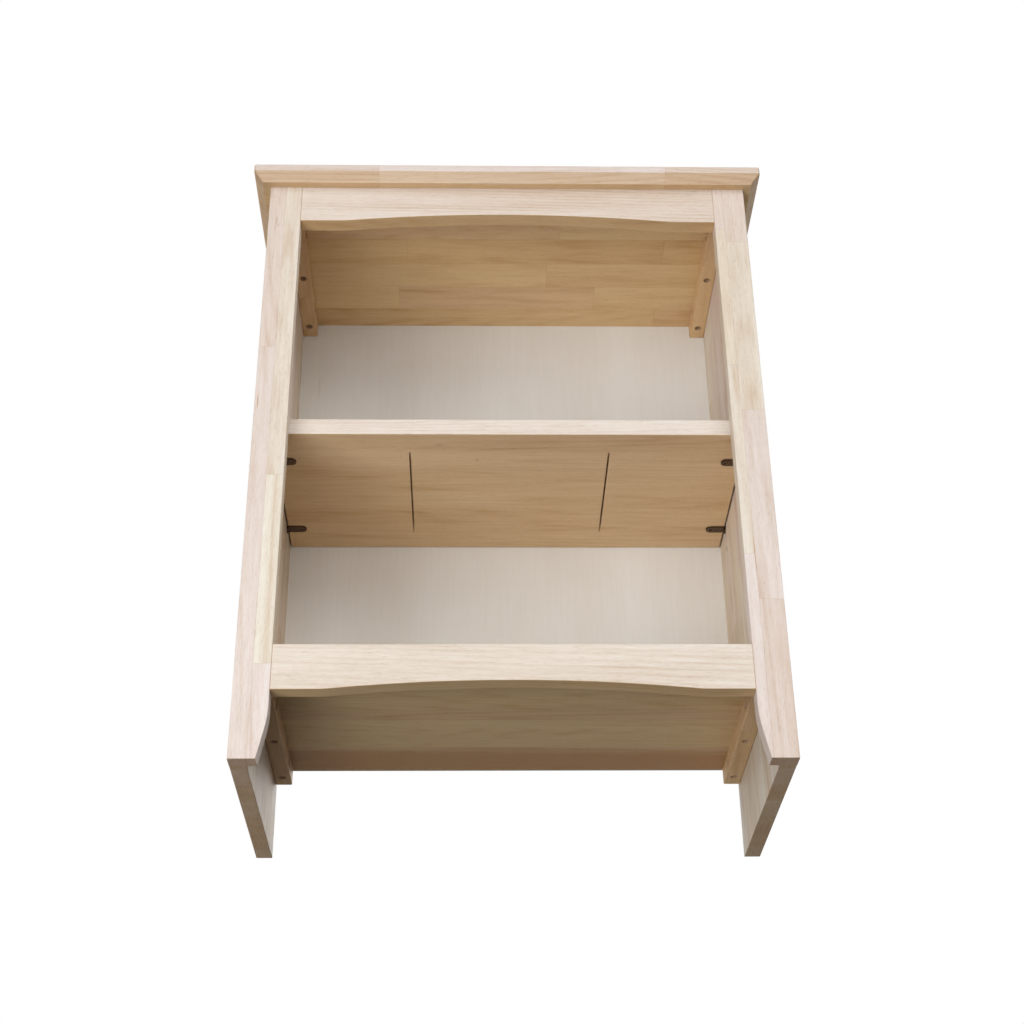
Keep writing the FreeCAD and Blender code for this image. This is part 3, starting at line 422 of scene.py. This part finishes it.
# ---- other finishes --------------------------------------------------------------------------
PLY_PITCH = 1.34 * MM  # one pale ply and one dark
def thin_plywood():
    """Pale veneer, its grain upright, with the plies on the edges and one short stain."""
    finish = Finish("thin_plywood")
    x, y, z = finish.place()
    faces = dict(zip("XYZ", finish.facing()))
    upright = finish.vector(x, y, z * 0.05)
    broad = finish.noise(finish.vector(x, y, z * 0.32), 9.0, 3.0, 0.55)
    streak = finish.noise(upright, 210.0, 3.0, 0.6)
    fibre = finish.noise(upright, 1300.0, 2.0, 0.6)
    shade = (broad - 0.5) * 1.1 + (streak - 0.5) * 0.6 + (fibre - 0.5) * 0.4
    stain = marks_on(finish, z, x, [(640, -243, 26, 2.2, 0.55), (655, -238, 12, 1.2, 0.3)])
    colour = finish.blend((shade + stain + 0.4).held(), paint(241, 241, 239), paint(228, 224, 216))
    edge = 1 - abs(faces["Y"]).rise(0.4, 0.8)
    ply = (y * (tau / PLY_PITCH)).wave().rise(-0.2, 0.2)
    plies = finish.blend(ply, paint(214, 196, 168), paint(170, 143, 112))
    colour = finish.blend(edge, colour, plies)
    height = (streak - 0.5) * 0.4 + (fibre - 0.5) * 0.5
    return finish.surface(
        {
            "Base Color": colour,
            "Roughness": ((streak - 0.5) * 0.16 + 0.6).held(),
            "Specular IOR Level": 0.3,
            "Normal": finish.bump(height, 0.12 * MM, 0.8),
        }
    )


def metal(name, bright, dull, rough, speck_size):
    """Plated metal with fine mottling and a slightly uneven sheen."""
    finish = Finish(name)
    x, y, z = finish.place()
    around = finish.vector(x, y, z)
    mottle = finish.noise(around, 1 / speck_size, 3.0, 0.6)
    fine = finish.noise(around, 4.5 / speck_size, 2.0, 0.6)
    colour = finish.blend((mottle * 0.7 + fine * 0.3).rise(0.32, 0.68), bright, dull)
    return finish.surface(
        {
            "Base Color": colour,
            "Metallic": 1.0,
            "Roughness": ((mottle - 0.5) * 0.3 + rough).held(),
            "Normal": finish.bump(fine, 0.05 * MM, 0.5),
        }
    )


def dowel_wood():
    """Turned birch pegs, grain along the peg."""
    finish = Finish("dowel_wood")
    x, y, z = finish.place()
    streak = finish.noise(finish.vector(x * 0.2, y, z), 900.0, 3.0, 0.6)
    broad = finish.noise(finish.vector(x, y, z), 60.0, 2.0)
    share = (streak * 0.7 + broad * 0.3).rise(0.3, 0.7)
    colour = finish.blend(share, paint(221, 197, 160), paint(188, 158, 118))
    return finish.surface(
        {
            "Base Color": colour,
            "Roughness": (streak * 0.2 + 0.5).held(),
            "Normal": finish.bump(streak, 0.15 * MM, 0.7),
        }
    )


# ---- the pieces' own woods -------------------------------------------------------------------
# Each row of staves: its low edge in mm, then where each stave starts in mm, with its tone.
left_stile_staves = laid(
    (-290, [(-10, 0.12), (505, 0.22)]),
    (-266.5, [(-10, 0.06), (105, 0.74), (333, 0.56)]),
)
right_stile_staves = laid(
    (240, [(-10, 0.02), (235, 0.57), (482, 0.93), (680, 0.24)]),
    (259.4, [(-10, 0.17), (180, 0.08), (420, 0.60), (661, 0.30)]),
)
top_staves = laid(
    (-160, [(-320, 0.14), (-155, 0.05), (190, 0.31)]),
    (-133.4, [(-320, 0.44), (-60, 0.19), (210, 0.58)]),
    (-85.7, [(-320, 0.10), (67, 0.70)]),
    (-38, [(-320, 0.91), (-125, 0.86), (200, 0.95)]),
    (10, [(-320, 0.66), (53, 0.77)]),
    (58, [(-320, 0.80), (-138, 0.02), (117, 0.73)]),
    (105, [(-320, 0.61), (200, 0.36)]),
)
shelf_staves = laid(
    (-120, [(-300, 0.40)]),
    (-25, [(-300, 0.52)]),
)
bottom_shelf_staves = laid(
    (-120, [(-300, 0.71)]),
    (-22, [(-300, 0.15)]),
    (4, [(-300, 0.68)]),
    (78, [(-300, 0.07)]),
)
rail_staves = laid((-10, [(-300, 0.38)]))
lower_rail_staves = laid((-10, [(-300, 0.47)]))

rail_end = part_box("top_rail")[1].x
# A share for faces that look down, given below, is painted shade on those faces.
woods = {
    "left_stile": bare_wood(
        "left_stile_wood", "Z", "X", left_stile_staves,
        marks_and_shade=[(430, -282, 12, 0.9, 0.8), (690, -276, 7, 1.2, 0.5), (684, -273.5, 4, 1.0, 0.4)],
    ),
    "right_stile": bare_wood(
        "right_stile_wood", "Z", "X", right_stile_staves,
        marks_and_shade=[(232, 259.2, 30, 0.8, 0.7)],
    ),
    "top_rail": bare_wood(
        "top_rail_wood", "X", "Z", rail_staves, figure=0.5, seam_shade_ends=rail_end, down_shade_share=1.0
    ),
    "bottom_rail": bare_wood(
        "bottom_rail_wood", "X", "Z", lower_rail_staves, figure=0.5, seam_shade_ends=rail_end, down_shade_share=1.0
    ),
    "top_board": bare_wood("top_board_wood", "X", "Y", top_staves, down_shade_share=1.0),
    "adjustable_shelf": bare_wood(
        "adjustable_shelf_wood", "X", "Y", shelf_staves, figure=1.6, down_shade_share=0.85,
        marks_and_shade=[(-37, -60, 3, 2, 0.6), (181, -58, 2.5, 1.8, 0.45), (-80, -91, 6, 3, 0.25)],
    ),
    # One knot, and painted shade that darkens the board along the rear.
    "bottom_shelf": bare_wood(
        "bottom_shelf_wood", "X", "Y", bottom_shelf_staves, down_shade_share=1.0,
        marks_and_shade=[(63, 117, 2.2, 4, 1.0), (0, 125, 700, 48, 0.9)],
    ),
    "left_side_panel": bare_wood(
        "side_panel_wood", "Z", "Y", scattered(44.5, 330, 3.4)
    ),
}
woods["right_side_panel"] = woods["left_side_panel"]
# The cleats take painted shade on the faces that look down and on their sides.
cleat_wood = bare_wood("cleat_wood", "Y", "X", scattered(60, 210, 5.1), down_shade_share=1.0, side_shade_share=1.0)

finishes = dict(woods)
for node in nodes:
    if node.endswith("_cleat"):
        finishes[node] = cleat_wood
finishes["back_panel"] = thin_plywood()
bronze = metal("dark_bronze", paint(112, 92, 74), paint(70, 55, 43), 0.36, 2.2 * MM)
zinc = metal("zinc_screw", paint(196, 194, 186), paint(152, 149, 142), 0.34, 1.6 * MM)
steel = metal("steel_nail", paint(168, 166, 162), paint(122, 120, 117), 0.42, 1.4 * MM)
pegs = dowel_wood()
for node in nodes:
    if node.endswith("_shelf_pin"):
        finishes[node] = bronze
    elif node.endswith("_screws"):
        finishes[node] = zinc
    elif node.endswith("_dowels"):
        finishes[node] = pegs
    elif node.endswith("_nails"):
        finishes[node] = steel
for node, finish in finishes.items():
    for holder in nodes[node].material_slots:
        holder.material = finish


# ---- floor, light and camera -----------------------------------------------------------------
FLOOR_RADIUS = 6.0
FADE = (1.6, 4.2)  # where the floor starts to thin out, and where it is gone
AMBIENT = 0.44
LOW_AMBIENT = 0.04
HORIZON = 0.08  # half the height of the band where one level turns into the other
LAMP_SIZE = 2.2
LAMP_DISTANCE = 3.6
LAMP_AIM = Vector((0, 0, (cad_box[0].z + cad_box[1].z) / 2))
CAMERA_PLACE = (-0.0434, -1.7728, -0.6954)
CAMERA_AIM = (0.0037, -0.0142, 0.3570)
CAMERA_ROLL = radians(-0.70)
CAMERA_LENS = 62.29


def make_floor():
    """Pale floor that fades into the white surround and is not in the way from below."""
    bpy.ops.mesh.primitive_circle_add(vertices=96, radius=FLOOR_RADIUS, fill_type="NGON", location=(0, 0, 0))
    floor = bpy.context.object
    floor.name = "studio_floor"
    finish = Finish("studio_floor")
    x, y, _ = finish.place()
    mottle = finish.noise(finish.vector(x, y, 0.0), 3.0, 3.0)
    colour = finish.blend(mottle, paint(243, 242, 240), paint(236, 235, 233))
    pale = finish.add("ShaderNodeBsdfDiffuse", None, {"Color": colour})["BSDF"]
    clear = finish.add("ShaderNodeBsdfTransparent")["BSDF"]
    rays = finish.add("ShaderNodeLightPath")
    under = finish.add("ShaderNodeNewGeometry")["Backfacing"]
    away = ((x * x + y * y).root()).rise(*FADE)
    passed = rays["Is Shadow Ray"].highest(rays["Is Diffuse Ray"]).highest(under).highest(away)
    mixed = finish.add("ShaderNodeMixShader", None, {"Fac": passed, "Shader": pale, "Shader_001": clear})
    finish.add("ShaderNodeOutputMaterial", None, {"Surface": mixed["Shader"]})
    floor.data.materials.append(finish.holder)


def make_surround():
    """White all round to look at, and a softer level to light by, fainter from below."""
    world = bpy.data.worlds.new("studio_surround")
    bpy.context.scene.world = world
    finish = Finish("studio_surround", world)
    rays = finish.add("ShaderNodeLightPath")
    seen = rays["Is Camera Ray"].highest(rays["Is Glossy Ray"]).highest(rays["Is Transmission Ray"])
    toward = finish.add("ShaderNodeTexCoord")["Generated"]
    up = finish.add("ShaderNodeSeparateXYZ", None, {"Vector": toward})["Z"]
    level = up.rise(-HORIZON, HORIZON) * (AMBIENT - LOW_AMBIENT) + LOW_AMBIENT
    strength = seen * (1 - level) + level
    sky = finish.add("ShaderNodeBackground", None, {"Color": (1, 1, 1, 1), "Strength": strength})
    finish.add("ShaderNodeOutputWorld", None, {"Surface": sky["Background"]})


def make_lamp(name, around, above, power):
    """A square soft lamp on a ball round the piece; angles in degrees from straight in front."""
    turn = radians(around)
    tilt = radians(above)
    way = Vector((sin(turn) * cos(tilt), -cos(turn) * cos(tilt), sin(tilt)))
    data = bpy.data.lights.new(name, "AREA")
    data.shape = "SQUARE"
    data.size = LAMP_SIZE
    data.energy = power
    lamp = bpy.data.objects.new(name, data)
    bpy.context.scene.collection.objects.link(lamp)
    lamp.location = LAMP_AIM + way * LAMP_DISTANCE
    lamp.rotation_mode = "QUATERNION"
    lamp.rotation_quaternion = (-way).to_track_quat("-Z", "Y")
    lamp.visible_camera = False


def make_camera(place, aim, roll, lens):
    data = bpy.data.cameras.new("camera")
    data.sensor_width = 36.0
    data.lens = lens
    camera = bpy.data.objects.new("camera", data)
    bpy.context.scene.collection.objects.link(camera)
    camera.location = place
    camera.rotation_mode = "QUATERNION"
    look = (Vector(aim) - Vector(place)).to_track_quat("-Z", "Y")
    camera.rotation_quaternion = look @ Quaternion((0, 0, 1), roll)
    bpy.context.scene.camera = camera


make_floor()
make_surround()
make_lamp("low_left_lamp", -35, -35, 48)
make_lamp("front_lamp", 4, -12, 29)
make_lamp("left_lamp", -42, -4, 38)
make_lamp("right_lamp", 38, 26, 46)
make_lamp("rear_lamp", 152, 28, 60)
make_camera(CAMERA_PLACE, CAMERA_AIM, CAMERA_ROLL, CAMERA_LENS)

scene = bpy.context.scene
scene.view_settings.view_transform = "Standard"
